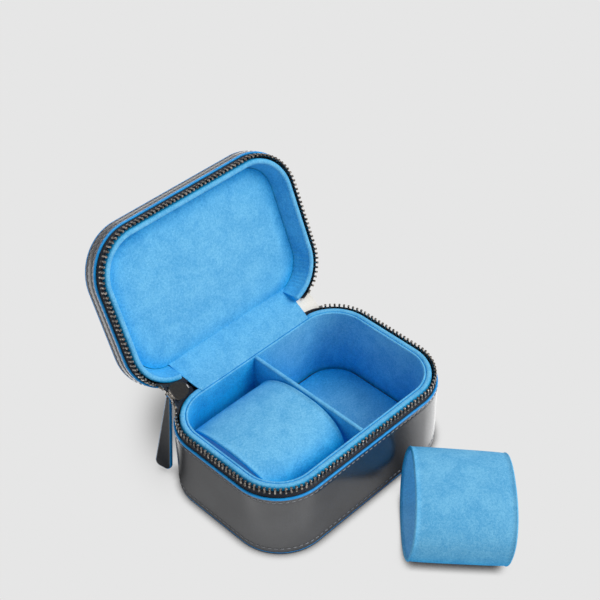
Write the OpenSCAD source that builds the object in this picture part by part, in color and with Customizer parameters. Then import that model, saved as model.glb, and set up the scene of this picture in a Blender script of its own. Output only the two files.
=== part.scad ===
/* [Case] */
// Length of the case, along the hinge
case_l = 130; // [116:1:150]
// Width of the case, from the hinge side to the front
case_w = 90; // [84:1:110]
// Radius of the upright corners, outside
corner_r = 26.5; // [24:0.5:30]
// Height of the base's leather wall above the table
base_h = 40.3; // [36:0.1:50]
// Height of the lid's leather wall, top panel included
lid_h = 9; // [8:0.5:14]
// Upright gap between the two leather edges, closed by the zip
zip_gap = 10.6; // [9.6:0.1:12]
// Angle that the lid is open as drawn, from closed
open_angle = 112.6; // [95:0.1:120]
// Distance of the hinge line behind the outside of the back wall
hinge_out = 1.3; // [0.5:0.1:2.5]

/* [Leather and boards] */
// Thickness of the leather on the walls
leather_t = 1.2; // [0.9:0.1:1.2]
// Thickness of the leather under the base and on top of the lid
panel_t = 1.3; // [1:0.1:1.8]
// Height of the painted bead along a cut leather edge
paint_h = 0.35; // [0.2:0.05:0.4]
// Thickness of the stiffener boards' floor and top
board_t = 1.5; // [1:0.1:2]
// Thickness of the suede covers
suede_t = 0.35; // [0.25:0.05:0.5]

/* [Zip] */
// Distance from the case's outside to the middle of the zip tape
zip_in = 1.5; // [1.5:0.05:1.6]
// Thickness of the woven zip tape
tape_t = 0.6; // [0.4:0.05:0.6]
// Depth of the tape that is glued behind the leather
tape_deep = 10; // [6:0.5:12]
// Distance from one tooth to the next along one tape
tooth_pitch = 2.54; // [2.5:0.01:3]
// Width of a tooth along the tape
tooth_w = 1.15; // [0.9:0.01:1.17]
// Height of a tooth across the tape
tooth_h = 3.2; // [2.8:0.1:3.6]
// Thickness of a tooth
tooth_t = 1.4; // [1.2:0.05:1.4]
// Length by which the heads of facing teeth pass each other when closed
interlock = 1.6; // [1:0.1:1.8]
// Distance along the zip from the back straight to the first tooth
zip_start = 15.5; // [14:0.5:20]
// Distance along the zip from the last stiff tooth to the back straight
zip_end = 22; // [21:0.5:26]

/* [Lips] */
// Distance from the case's outside to the suede lip
lip_in = 3.3; // [3.25:0.05:3.6]
// Width of the suede lip
lip_w = 2.9; // [2.4:0.1:3.4]
// Clearance between the two closed lips
lip_clear = 0.2; // [0.2:0.1:0.6]
// Where the base's lip ends on the left of the hinge strip
strip_left = -35; // [-38:1:-30]
// Where the lips end on the right of the hinge strip
strip_right = 42.5; // [36:0.5:43]
// Where the lid's lip ends on the left of the hinge strip
lid_strip_left = -40; // [-44:1:-38]

/* [Tray] */
// Thickness of the tray's covered wall
tray_t = 1.2; // [0.8:0.1:1.3]
// Distance of the tray's edge below the top of the lip
tray_low = 0.4; // [0.2:0.1:1]
// Thickness of the tray's floor board
tray_floor_t = 1.2; // [1:0.1:2]
// Thickness of the floor pads
pad_t = 2.4; // [1:0.1:3]
// Distance of the floor pads from the tray's wall
pad_in = 1.5; // [0.5:0.1:3]
// Thickness of the divider between the two wells
divider_t = 2.3; // [1.8:0.1:4]

/* [Lid lining] */
// Width that the sloping lid lining adds at its foot
lining_w = 2.6; // [1.5:0.1:4]
// Thickness of the padded panel at its edge
lid_pad_edge = 0.5; // [0.3:0.1:1]
// Extra thickness of the padded panel at its middle
lid_pad_crown = 1.3; // [0.5:0.1:2]

/* [Hinge] */
// Thickness of the leather spine
spine_t = 1.1; // [0.8:0.1:1.1]
// Thickness of the suede hinge strip
strip_t = 0.5; // [0.4:0.05:0.6]

/* [Slider] */
// Length of the zip slider
slider_l = 12.6; // [11:0.1:13]
// Width of the zip slider, across the two tapes
slider_w = 9.6; // [9:0.1:9.8]
// Thickness of each slider plate
plate_t = 0.75; // [0.6:0.05:0.8]
// Clearance between the teeth and a slider plate
plate_clear = 0.15; // [0.1:0.05:0.15]
// Place of the parked slider, in degrees round the back left corner
slider_turn = 22; // [20:1:24]
// Height inside the slider's bridge
bridge_h = 1.9; // [1.7:0.1:2.4]

/* [Pull] */
// Thickness of the metal link
link_t = 1.1; // [0.8:0.1:1.2]
// Length of the metal link, outside
link_l = 7.6; // [7.4:0.1:9]
// Width of the metal link, outside
link_w = 7.6; // [7.4:0.1:8.4]
// Length of the leather tab below the link's lower bar
tab_l = 41.5; // [30:0.5:41.5]
// Width of the tab at its free end
tab_w = 10; // [7:0.5:10.5]
// Radius of the tab's corners at its free end
tab_end_r = 3; // [1:0.5:3.5]
// Width of the tab at the link
tab_top_w = 2.6; // [2.2:0.1:2.8]
// Thickness of the folded tab
tab_t = 2.4; // [2.2:0.1:2.6]
// Lean of the hanging tab away from the case, in degrees
tab_lean = 17; // [10:0.5:20]
// Turn of the hanging tab in its link, in degrees
tab_turn = 36; // [30:1:36]

/* [Cuffs] */
// Full width of a cuff's oval, across
cuff_w = 63.6; // [56:0.2:63.6]
// Full height of a cuff's oval
cuff_h = 38; // [30:0.5:38.5]
// Room between the end of the well's cuff and the tray's wall
cuff_end_room = 3; // [2.9:0.1:14]
// Length by which each end of a cuff is drawn in at its sides
cuff_bow = 3.2; // [3:0.1:5]
// Thickness of a cuff's stiff core
cuff_core_t = 1.1; // [0.8:0.1:2]
// Fullness of the oval, where 2 is an ellipse
cuff_full = 2.3; // [2:0.1:2.6]
// Clearance between the well cuff and the divider
cuff_gap = 0.4; // [0.3:0.1:0.6]
// Turn of the loose cuff on the table, in degrees
loose_turn = -46; // [-50:1:-42]
// Place of the loose cuff's middle along the case's length
loose_x = 14.5; // [0:0.5:20]
// Clearance between the loose cuff and the case's front wall
loose_out = 3.4; // [1.2:0.1:6]

/* [Hidden] */
arc_n = 14;
oval_n = 72;
cut = 1;
touch = 0.05;
suede_blue = "#58b0e0";
edge_blue = "#008ce1";
leather_grey = "#5a5c61";
tape_navy = "#10151f";
metal_dark = "#6e6459";
board_dark = "#343337";

// Half lengths of the straight sides
half_x = case_l/2 - corner_r;
half_y = case_w/2 - corner_r;
// Heights above the table with the lid closed
lid_z = base_h + zip_gap;
mid_z = base_h + zip_gap/2;
top_z = lid_z + lid_h;
lid_board_z = top_z - panel_t - board_t;
lip_top = mid_z - lip_clear/2;
lid_lip_z = mid_z + lip_clear/2;
board_floor = panel_t + board_t;
board_in = zip_in + tape_t/2;
board_out = lip_in - touch;
tray_in = lip_in + lip_w + touch;
tray_out = tray_in + tray_t;
tray_top = lip_top - tray_low;
pad_z = board_floor + tray_floor_t;
well_floor = pad_z + pad_t;
// Length of a cuff, at its middle
cuff_l = case_l/2 - tray_out - divider_t/2 - cuff_gap - cuff_end_room;
// The hinge line, on which the lid turns
hinge_y = case_w/2 + hinge_out;
hinge_z = mid_z;
half_angle = open_angle/2;
// The zip's path
path_r = corner_r - zip_in;
quarter = PI*path_r/2;
path_l = 4*quarter + 4*half_y + 2*half_x;
tooth_top = mid_z + interlock/2;
leg = 1;
// Clearance each side between a tooth's legs and the tape
grip = 0.08;
tape_top = tooth_top - tooth_h + leg;
tape_start = zip_start - tooth_pitch - 1.2;
tape_end = path_l - zip_end + tooth_pitch/2;
strip_bed = tray_top - 4*touch;

// Points round the case's outline, inset by i, anticlockwise from the right side
function outline(i) = [
    for (q = [0:3], k = [0:arc_n]) let(
        a = 90*(q + k/arc_n),
        cx = (q == 0 || q == 3 ? 1 : -1)*half_x,
        cy = (q < 2 ? 1 : -1)*half_y
    ) [cx + (corner_r - i)*cos(a), cy + (corner_r - i)*sin(a)]
];

// Place and heading on the zip's path, s from the back straight's right end, clockwise
function along(s) =
    let(q = quarter, x = 2*half_x, y = 2*half_y)
    s < q ? bend(s/q, half_x, half_y, 0)
    : s < q + y ? [path_r + half_x, half_y - (s - q), -90]
    : s < 2*q + y ? bend((s - q - y)/q, half_x, -half_y, 1)
    : s < 2*q + y + x ? [half_x - (s - 2*q - y), -half_y - path_r, -180]
    : s < 3*q + y + x ? bend((s - 2*q - y - x)/q, -half_x, -half_y, 2)
    : s < 3*q + 2*y + x ? [-path_r - half_x, -half_y + (s - 3*q - y - x), -270]
    : bend((s - 3*q - 2*y - x)/q, -half_x, half_y, 3);
function bend(u, cx, cy, q) =
    let(a = 90 - 90*(q + u)) [cx + path_r*cos(a), cy + path_r*sin(a), a - 90];

// A point turned about the hinge line, as the lid turns when it closes
function turned(p, a) =
    let(y = p[1] - hinge_y, z = p[2] - hinge_z)
    [p[0], hinge_y + y*cos(a) - z*sin(a), hinge_z + y*sin(a) + z*cos(a)];

module turn(a) {
    translate([0, hinge_y, hinge_z]) rotate([a, 0, 0]) translate([0, -hinge_y, -hinge_z]) children();
}

module slab(i, z0, z1) {
    translate([0, 0, z0]) linear_extrude(z1 - z0) polygon(outline(i));
}

module ring(i0, i1, z0, z1) {
    translate([0, 0, z0]) linear_extrude(z1 - z0) difference() {
        polygon(outline(i0));
        polygon(outline(i1));
    }
}

// The back of the case between two places along the hinge, for cutting
module back_gap(x0, x1, z0 = 0) {
    translate([x0, half_y, z0 - cut*(z0 == 0 ? 1 : 0)]) cube([x1 - x0, corner_r + cut, top_z + 2*cut]);
}

// The wedge behind the zip's two ends, for cutting
module behind_zip(s0, s1) {
    p0 = along(s0);
    p1 = along(s1);
    far = 2;
    translate([0, 0, -cut]) linear_extrude(top_z + 2*cut) polygon([
        [half_x, half_y],
        [half_x, half_y] + far*([p0[0], p0[1]] - [half_x, half_y]),
        [half_x, far*case_w],
        [-half_x, far*case_w],
        [-half_x, half_y] + far*([p1[0], p1[1]] - [-half_x, half_y]),
        [-half_x, half_y],
    ]);
}

// A closed sheet of thickness t on a grid of points
module sheet(g, t) {
    rows = len(g);
    n = len(g[0]);
    normal = function(r, c) let(
        a = g[min(r + 1, rows - 1)][c] - g[max(r - 1, 0)][c],
        b = g[r][min(c + 1, n - 1)] - g[r][max(c - 1, 0)],
        m = cross(a, b)
    ) m/norm(m);
    pts = [
        for (side = [0.5, -0.5], r = [0:rows - 1], c = [0:n - 1]) g[r][c] + side*t*normal(r, c)
    ];
    rim = concat(
        [for (c = [0:n - 1]) c], [for (r = [1:rows - 1]) r*n + n - 1],
        [for (c = [n - 2:-1:0]) (rows - 1)*n + c], [for (r = [rows - 2:-1:1]) r*n]
    );
    back = rows*n;
    faces = concat(
        [for (r = [0:rows - 2], c = [0:n - 2]) let(k = r*n + c)
            each [[k, k + 1, k + n + 1], [k, k + n + 1, k + n]]],
        [for (r = [0:rows - 2], c = [0:n - 2]) let(k = back + r*n + c)
            each [[k, k + n + 1, k + 1], [k, k + n, k + n + 1]]],
        [for (k = [0:len(rim) - 1]) let(a = rim[k], b = rim[(k + 1)%len(rim)])
            each [[a, a + back, b + back], [a, b + back, b]]]
    );
    polyhedron(pts, faces);
}

// Rings of the case's outline joined into one closed skin, each ring [inset, height]
module loft(rings) {
    n = len(outline(0));
    pts = [for (r = rings) each [for (p = outline(r[0])) [p[0], p[1], r[1]]]];
    m = len(rings);
    polyhedron(pts, concat(
        [for (r = [0:m - 2], k = [0:n - 1]) let(a = r*n + k, b = r*n + (k + 1)%n)
            each [[a, a + n, b + n], [a, b + n, b]]],
        [[for (k = [0:n - 1]) k]], [[for (k = [n - 1:-1:0]) (m - 1)*n + k]]
    ));
}

// One tooth clasping the tape's edge: x along the tape, z towards the other tape
module tooth() {
    w = tooth_t/2;
    slot = tape_t/2 + grip;
    head = 0.35;
    translate([-tooth_w/2, 0, 0]) rotate([90, 0, 90]) linear_extrude(tooth_w) polygon([
        [-w, -tooth_h], [-slot, -tooth_h], [-slot, -tooth_h + leg + touch], [slot, -tooth_h + leg + touch],
        [slot, -tooth_h], [w, -tooth_h], [w, -2*head], [w - head, 0], [head - w, 0], [-w, -2*head],
    ]);
}

// A row of teeth from s0 to s1, pointing up, with their tops at the interlock
module teeth(s0, s1) {
    for (k = [0:floor((s1 - s0)/tooth_pitch)]) {
        p = along(s0 + k*tooth_pitch);
        translate([p[0], p[1], tooth_top]) rotate([0, 0, p[2]]) tooth();
    }
}

// The base's half of the zip mirrored over the middle height, for the lid's half
module lid_half() {
    translate([0, 0, 2*mid_z]) mirror([0, 0, 1]) children();
}

module zip_stop(s) {
    stop_l = 2;
    p = along(s);
    translate([p[0], p[1], 0]) rotate([0, 0, p[2]])
        translate([-stop_l/2, -tooth_t/2, tooth_top - tooth_h]) difference() {
            cube([stop_l, tooth_t, tooth_h - interlock/2 - touch]);
            translate([-cut, (tooth_t - tape_t)/2 - 1.5*grip, -cut])
                cube([stop_l + 2*cut, tape_t + 3*grip, leg + cut + touch]);
        }
}

module base_bottom_leather() {
    color(leather_grey) slab(paint_h, 0, panel_t);
}

module base_bottom_edge_paint() {
    color(edge_blue) ring(0, paint_h, 0, panel_t);
}

module base_wall_leather() {
    color(leather_grey) ring(0, leather_t, panel_t, base_h - paint_h);
}

module base_rim_edge_paint() {
    color(edge_blue) ring(0, leather_t, base_h - paint_h, base_h);
}

module base_stiffener() {
    color(board_dark) union() {
        slab(leather_t, panel_t, board_floor);
        ring(board_in, board_out, board_floor, base_h - paint_h);
    }
}

module half_tape(z0, z1) {
    difference() {
        ring(zip_in - tape_t/2, zip_in + tape_t/2, z0, z1);
        behind_zip(tape_start, tape_end);
    }
}

module base_zip_tape() {
    color(tape_navy) half_tape(base_h - tape_deep, tape_top);
}

module base_zip_teeth() {
    color(metal_dark) teeth(zip_start, path_l - zip_end);
}

module base_zip_stop() {
    color(metal_dark) zip_stop(zip_start - tooth_pitch);
}

module lip_core(z0, z1) {
    ring(lip_in + suede_t, lip_in + lip_w - suede_t, z0, z1);
}

// The room that the parked slider sweeps about the hinge line, pressed into the lips; more widens it
module slider_sweep(more) {
    clear = 0.3;
    x = slider_l/2*cos(slider_turn);
    p = along(slider_s);
    reach = function(side) let(y = hinge_y - p[1] + channel + plate_t - side*slider_l/2*sin(slider_turn))
        norm([y, slider_w/2]) + clear + more;
    translate([p[0] + x, hinge_y, hinge_z]) rotate([0, -90, 0])
        cylinder(h = 2*x, r1 = reach(1), r2 = reach(-1), $fn = 96);
}

module base_lip_foam() {
    color("#d8d2c0") difference() {
        lip_core(board_floor, lip_top - suede_t);
        back_gap(strip_left - suede_t, strip_right + suede_t, strip_bed - suede_t);
        slider_sweep(suede_t);
    }
}

module base_lip_suede() {
    color(suede_blue) difference() {
        ring(lip_in, lip_in + lip_w, board_floor, lip_top);
        difference() {
            lip_core(board_floor - cut, lip_top - suede_t);
            back_gap(strip_left - suede_t, strip_right + suede_t, strip_bed - suede_t);
            slider_sweep(suede_t);
        }
        back_gap(strip_left, strip_right, strip_bed);
        slider_sweep(0);
    }
}

module tray_wall() {
    color(suede_blue) ring(tray_in, tray_out, board_floor, tray_top);
}

module tray_floor() {
    color(board_dark) slab(tray_out, board_floor, pad_z);
}

module tray_divider() {
    l = case_w - 2*tray_out - 2*touch;
    color(suede_blue) translate([-divider_t/2, -l/2, pad_z]) cube([divider_t, l, tray_top - pad_z]);
}

// The right floor pad: the tray's outline cut at the divider
module floor_pad() {
    intersection() {
        slab(tray_out + pad_in, pad_z, well_floor);
        translate([divider_t/2 + touch, -case_w/2, 0]) cube([case_l/2, case_w, case_w]);
    }
}

module left_floor_pad() {
    color(suede_blue) mirror([1, 0, 0]) floor_pad();
}

module right_floor_pad() {
    color(suede_blue) floor_pad();
}

module lid_top_leather() {
    color(leather_grey) turn(-open_angle) slab(paint_h, top_z - panel_t, top_z);
}

module lid_top_edge_paint() {
    color(edge_blue) turn(-open_angle) ring(0, paint_h, top_z - panel_t, top_z);
}

module lid_wall_leather() {
    color(leather_grey) turn(-open_angle) ring(0, leather_t, lid_z + paint_h, top_z - panel_t);
}

module lid_rim_edge_paint() {
    color(edge_blue) turn(-open_angle) ring(0, leather_t, lid_z, lid_z + paint_h);
}

module lid_stiffener() {
    color(board_dark) turn(-open_angle) union() {
        slab(leather_t, lid_board_z, top_z - panel_t);
        difference() {
            ring(board_in, board_out, lid_z + paint_h, lid_board_z);
            back_gap(lid_strip_left, strip_right);
        }
    }
}

module lid_zip_tape() {
    deep = min(tape_deep, lid_h - panel_t - board_t - touch);
    color(tape_navy) turn(-open_angle) half_tape(2*mid_z - tape_top, lid_z + deep);
}

module lid_zip_teeth() {
    color(metal_dark) turn(-open_angle) lid_half()
        teeth(zip_start + tooth_pitch/2, path_l - zip_end);
}

module lid_zip_stop() {
    color(metal_dark) turn(-open_angle) lid_half() zip_stop(zip_start - tooth_pitch);
}

module lid_lip_foam() {
    color("#d8d2c0") turn(-open_angle) difference() {
        lip_core(lid_lip_z + suede_t, lid_board_z);
        back_gap(lid_strip_left - suede_t, strip_right + suede_t);
        slider_sweep(suede_t);
    }
}

module lid_lip_suede() {
    color(suede_blue) turn(-open_angle) difference() {
        ring(lip_in, lip_in + lip_w, lid_lip_z, lid_board_z);
        difference() {
            lip_core(lid_lip_z + suede_t, lid_board_z + cut);
            back_gap(lid_strip_left - suede_t, strip_right + suede_t);
            slider_sweep(suede_t);
        }
        back_gap(lid_strip_left, strip_right);
        slider_sweep(0);
    }
}

lining_in = lip_in + lip_w + touch;
panel_in = lining_in + lining_w;

// The wedge of lining that slopes from the lid's lip down to the padded panel
module lid_wall_lining() {
    edge = 0.5;
    color(suede_blue) turn(-open_angle) difference() {
        slab(lining_in, lid_lip_z + 2*edge, lid_board_z);
        loft([
            [lining_in + edge, lid_lip_z - cut],
            [lining_in + edge, lid_lip_z + 2*edge],
            [panel_in, lid_board_z],
            [panel_in, lid_board_z + cut],
        ]);
        back_gap(lid_strip_left, strip_right);
    }
}

// The padded panel: a flat back and a crown towards the inside
module lid_padded_panel() {
    steps = 6;
    roll = 9;
    color(suede_blue) turn(-open_angle) loft(concat(
        [for (k = [steps:-1:0]) let(u = k/steps)
            [panel_in + touch + roll*u, lid_board_z - lid_pad_edge - lid_pad_crown*sin(90*u)]],
        [[panel_in + touch, lid_board_z]]
    ));
}

// A smooth curve between two points that leaves each along its own direction
function curve(p0, d0, p1, d1, n) = [
    for (k = [0:n]) let(u = k/n, v = 1 - u)
        v*v*v*p0 + 3*v*v*u*(p0 + d0) + 3*v*u*u*(p1 + d1) + u*u*u*p1
];
function band(c, t) =
    let(
        n = len(c) - 1,
        off = function(k) let(d = c[min(k + 1, n)] - c[max(k - 1, 0)]) [-d[1], d[0]]/norm(d)*t/2
    )
    concat([for (k = [0:n]) c[k] + off(k)], [for (k = [n:-1:0]) c[k] - off(k)]);
function yz(p) = [p[1], p[2]];

module across_hinge(x0, x1, pts) {
    translate([x0, 0, 0]) rotate([90, 0, 90]) linear_extrude(x1 - x0) polygon(pts);
}

// The leather spine, folded inward between the base's back edge and the lid's
module hinge_spine() {
    bend = 3;
    gap = 0.15;
    y = case_w/2 - leather_t/2;
    p0 = [y, base_h + gap];
    p1 = yz(turned([0, y, lid_z - gap], -open_angle));
    d1 = yz(turned([0, y, lid_z - gap - bend], -open_angle)) - p1;
    color(leather_grey) across_hinge(-half_x, half_x, band(curve(p0, [0, bend], p1, d1, 12), spine_t));
}

// The suede strip, from the tray's back edge to the lid's padded panel
module hinge_strip() {
    gap = 0.3;
    n = 8;
    p0 = [case_w/2 - tray_in - strip_t/2, tray_top + gap + strip_t/2];
    p1 = yz(turned([0, case_w/2 - panel_in + gap + strip_t, lid_board_z - gap - strip_t], -open_angle));
    third = (p1 - p0)/3;
    color(suede_blue)
        across_hinge(strip_left + gap, strip_right - gap, band(curve(p0, third, p1, -third, n), strip_t));
}

// The cream tab that closes the zip's end, flat between the two open tapes
module zip_end_tab() {
    far = tape_start - 0.3;
    near = far - 8.5;
    low = base_h + 1;
    n = 6;
    grid = [
        for (k = [0:n]) let(
            p = along(near + k/n*(far - near)),
            a = [p[0], p[1], low],
            b = turned([p[0], p[1], 2*mid_z - low], -open_angle)
        ) [for (v = [0.03, 0.25, 0.5, 0.75, 0.97]) a + v*(b - a)]
    ];
    color("#ede9de") sheet(grid, tape_t);
}

slider_s = path_l - slider_turn/90*quarter;
mouth_s = slider_s - slider_l/2;

tail_s = slider_s + slider_l/2;
tail_narrow = 0.28;
// Half width that the slider takes from the tapes at a place on the path
function slider_half(s) =
    s <= slider_s ? slider_w/2
    : s <= tail_s + 0.6 ? slider_w/2*(1 - tail_narrow*(s - slider_s)/(slider_l/2))
    : 0.2;
function mix(a, b, u) = a + (b - a)*u;

// The tapes between the stiff rows and the slider, one flap on each side of it
module zip_bend_tape() {
    start = tape_end + 0.3;
    stop = path_l + half_x + strip_left - 0.3;
    n = 16;
    low = base_h - 1.5;
    around = 0.25;
    module flap(side) {
        at = function(p, drop, part) turned(
            [p[0], p[1], side < 0 ? mid_z - drop : mid_z + drop],
            side < 0 ? -half_angle*part : -open_angle + half_angle*part
        );
        grid = [
            for (k = [0:n]) let(
                s = mix(start, stop, k/n),
                p = s < path_l ? along(s) : [-half_x + s - path_l, half_y + path_r],
                u = min(1, (s - start)/(mouth_s - start))
            ) [
                at(p, mid_z - low, 0),
                at(p, mix(mid_z - low - 1.6, 1.2, u), 0.2*u),
                at(p, mix(mid_z - low - 3.2, slider_half(s) + 0.3, u), u)
            ]
        ];
        difference() {
            sheet(side < 0 ? grid : [for (k = [n:-1:0]) grid[k]], tape_t - 2*touch);
            at_slider() cube([slider_l, 2*(channel + plate_t), slider_w] + 2*around*[1, 1, 1], center = true);
        }
    }
    color(tape_navy) {
        flap(-1);
        flap(1);
    }
}

// The few teeth that leave each stiff row and climb into the slider's mouth
module zip_bend_teeth() {
    count = 2;
    drop = 0.9;
    from = path_l - zip_end + 0.6;
    module climbing(p) {
        translate([p[0], p[1], tooth_top - drop]) rotate([0, 0, p[2]]) tooth();
    }
    color(metal_dark) for (k = [1:count]) {
        p = along(mix(from, mouth_s - tooth_w, k/count));
        turn(-half_angle*k/count*0.9) climbing(p);
        turn(-open_angle + half_angle*k/count*0.9) lid_half() climbing(p);
    }
}

// Puts a piece at the parked slider: x along the zip, y outward, z across
module at_slider() {
    p = along(slider_s);
    turn(-half_angle) translate([p[0], p[1], mid_z]) rotate([0, 0, p[2]]) children();
}

channel = tooth_t/2 + plate_clear;
// A slider plate's outline: a wide mouth at -x, drawn in towards the tail
function plate_outline() =
    let(l = slider_l/2, w = slider_w/2, c = 1.6, tail = (1 - tail_narrow)*w)
    [[-l, -w + c], [-l + c, -w], [0, -w], [l - c, -tail], [l, -tail + c],
     [l, tail - c], [l - c, tail], [0, w], [-l + c, w], [-l, w - c]];

module slider_body() {
    rail = 0.9;
    rail_gap = tape_t/2 + 0.2;
    wedge_w = slider_w/2 - tooth_h + interlock/2;
    module flat(y0, y1) {
        translate([0, y1, 0]) rotate([90, 0, 0]) linear_extrude(y1 - y0) children();
    }
    module rails() {
        difference() {
            polygon(plate_outline());
            square([2*slider_l, slider_w - 2*rail], center = true);
        }
    }
    color(metal_dark) at_slider() {
        flat(channel, channel + plate_t) polygon(plate_outline());
        flat(-channel - plate_t, -channel) polygon(plate_outline());
        flat(rail_gap, channel) rails();
        flat(-channel, -rail_gap) rails();
        flat(-channel, channel) polygon([
            [-slider_l/2, -wedge_w], [-slider_l/2 + 2, -wedge_w], [-slider_l/2 + 5, 0],
            [-slider_l/2 + 2, wedge_w], [-slider_l/2, wedge_w],
        ]);
    }
}

bridge_t = 0.9;
bridge_w = 2;
bridge_l = 7;
bridge_y = channel + plate_t;

// The arch on the slider's outer plate that holds the link
module slider_bridge() {
    l = bridge_l/2;
    h = bridge_h + bridge_t;
    color(metal_dark) at_slider() translate([0, bridge_y, -bridge_w/2]) linear_extrude(bridge_w) polygon([
        [-l, 0], [-l, h - 0.8], [-l + 0.8, h], [l - 0.8, h], [l, h - 0.8], [l, 0],
        [l - bridge_t, 0], [l - bridge_t, bridge_h - 0.4], [l - bridge_t - 0.4, bridge_h],
        [-l + bridge_t + 0.4, bridge_h], [-l + bridge_t, bridge_h - 0.4], [-l + bridge_t, 0],
    ]);
}

// The link's pivot, in the middle of the bridge
function out_of(p, d) = [p[0] - d*sin(p[2]), p[1] + d*cos(p[2])];
pivot = let(p = out_of(along(slider_s), bridge_y + bridge_h/2)) turned([p[0], p[1], mid_z], -half_angle);

// A frame with y across the zip and z up along the hanging link
module at_link() {
    translate(pivot) rotate([90 - half_angle, 0, 0]) rotate([0, tab_lean, 0]) children();
}

// The middle of the link's lower bar, where the leather tab hangs
link_reach = link_l - 1.5*link_t;
bar = pivot + link_reach*[-sin(tab_lean), cos(tab_lean)*cos(half_angle), -cos(tab_lean)*sin(half_angle)];

module pull_link() {
    w = link_w/2;
    i = w - link_t;
    top = link_t/2;
    low = -link_reach - link_t/2;
    c = 0.8;
    color(metal_dark) at_link() translate([-link_t/2, 0, 0]) rotate([90, 0, 90])
        linear_extrude(link_t) difference() {
            polygon([[c - w, top], [w - c, top], [w, top - c], [w, low + c],
                     [w - c, low], [c - w, low], [-w, low + c], [-w, top - c]]);
            polygon([[-i, top - link_t], [i, top - link_t], [i, low + link_t], [-i, low + link_t]]);
        }
}

// The tab's outline below the lower bar, inset by i, with the fold round the bar above it
fold = 2.15;
function tab_outline(i) =
    let(n = 8, r = tab_end_r, w = tab_w/2 - r, t = tab_top_w/2)
    concat(
        [[i - t, fold - i], [t - i, fold - i], [t - i, -fold]],
        [for (side = [1, -1], k = [0:n]) let(a = (side > 0 ? 0 : -90) - 90*k/n)
            [side*w + (r - i)*cos(a), r - tab_l + (r - i)*sin(a)]],
        [[i - t, -fold]]
    );

// A frame in the link's own plane, turned so that its z runs up the hanging tab
module in_fold() {
    translate(bar) rotate([90 - half_angle, 0, 0]) rotate([0, tab_lean, 0])
        rotate([-tab_turn, 0, 0]) children();
}

module at_tab() {
    in_fold() translate([-tab_t/2, 0, 0]) rotate([90, 0, 90]) children();
}

// The slot in the tab's fold that the link's lower bar runs through
module bar_slot() {
    slot_h = 3.5;
    in_fold() cube([link_t + 0.3, tab_w, slot_h], center = true);
}

module pull_tab() {
    color(leather_grey) difference() {
        at_tab() linear_extrude(tab_t) polygon(tab_outline(paint_h));
        bar_slot();
    }
}

module pull_tab_edge_paint() {
    color(edge_blue) difference() {
        at_tab() linear_extrude(tab_t) difference() {
            polygon(tab_outline(0));
            polygon(tab_outline(paint_h));
        }
        bar_slot();
    }
}

// Points round a cuff's oval, inset by i
function oval(i) = [
    for (k = [0:oval_n - 1]) let(a = 360*k/oval_n, e = 2/cuff_full, c = cos(a), s = sin(a))
        [(cuff_w/2 - i)*sign(c)*pow(abs(c), e), (cuff_h/2 - i)*sign(s)*pow(abs(s), e)]
];
cuff_t = cuff_core_t + 2*suede_t;

// Half length of a cuff at a distance from its middle, with rounded corners in plan
function cuff_reach(y) = cuff_l/2 - cuff_bow*pow(abs(y)/(cuff_w/2), 4);

// Rings of the cuff's oval joined into one closed sleeve, each ring [inset, end, distance from that end]
module sleeve(rings) {
    n = oval_n;
    m = len(rings);
    pts = [for (r = rings) each [for (p = oval(r[0])) [r[1]*(cuff_reach(p[0]) - r[2]), p[0], p[1]]]];
    polyhedron(pts, [for (r = [0:m - 1], k = [0:n - 1])
        let(a = r*n + k, b = r*n + (k + 1)%n, c = (r + 1)%m*n + k, d = (r + 1)%m*n + (k + 1)%n)
        each [[a, d, b], [a, c, d]]]);
}

module cuff_cover() {
    in = cuff_t - suede_t;
    color(suede_blue) sleeve([
        [0, -1, 0], [0, 1, 0], [in, 1, 0], [in, 1, suede_t],
        [suede_t, 1, suede_t], [suede_t, -1, suede_t], [in, -1, suede_t], [in, -1, 0],
    ]);
}

module cuff_core() {
    in = cuff_t - suede_t;
    end = suede_t + touch;
    color(board_dark) sleeve([
        [end, -1, end], [end, 1, end], [in - touch, 1, end], [in - touch, -1, end],
    ]);
}

module cuff_lining() {
    in = cuff_t - suede_t;
    color("#4a93c4") sleeve([[in, -1, 0], [in, 1, 0], [cuff_t, 1, 0], [cuff_t, -1, 0]]);
}

module in_well() {
    translate([-divider_t/2 - cuff_gap - cuff_l/2, 0, well_floor + touch + cuff_h/2]) children();
}

module on_table() {
    reach = (cuff_l/2 - cuff_bow)*abs(sin(loose_turn)) + cuff_w/2*cos(loose_turn);
    translate([loose_x, -case_w/2 - loose_out - reach, cuff_h/2]) rotate([0, 0, loose_turn]) children();
}

module well_cuff_cover() { in_well() cuff_cover(); }
module well_cuff_core() { in_well() cuff_core(); }
module well_cuff_lining() { in_well() cuff_lining(); }
module loose_cuff_cover() { on_table() cuff_cover(); }
module loose_cuff_core() { on_table() cuff_core(); }
module loose_cuff_lining() { on_table() cuff_lining(); }

base_bottom_leather();
base_bottom_edge_paint();
base_wall_leather();
base_rim_edge_paint();
base_stiffener();
base_zip_tape();
base_zip_teeth();
base_zip_stop();
base_lip_foam();
base_lip_suede();
tray_wall();
tray_floor();
tray_divider();
left_floor_pad();
right_floor_pad();
lid_top_leather();
lid_top_edge_paint();
lid_wall_leather();
lid_rim_edge_paint();
lid_stiffener();
lid_zip_tape();
lid_zip_teeth();
lid_zip_stop();
lid_lip_foam();
lid_lip_suede();
lid_wall_lining();
lid_padded_panel();
hinge_spine();
hinge_strip();
zip_end_tab();
zip_bend_tape();
zip_bend_teeth();
slider_body();
slider_bridge();
pull_link();
pull_tab();
pull_tab_edge_paint();
well_cuff_cover();
well_cuff_core();
well_cuff_lining();
loose_cuff_cover();
loose_cuff_core();
loose_cuff_lining();
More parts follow.
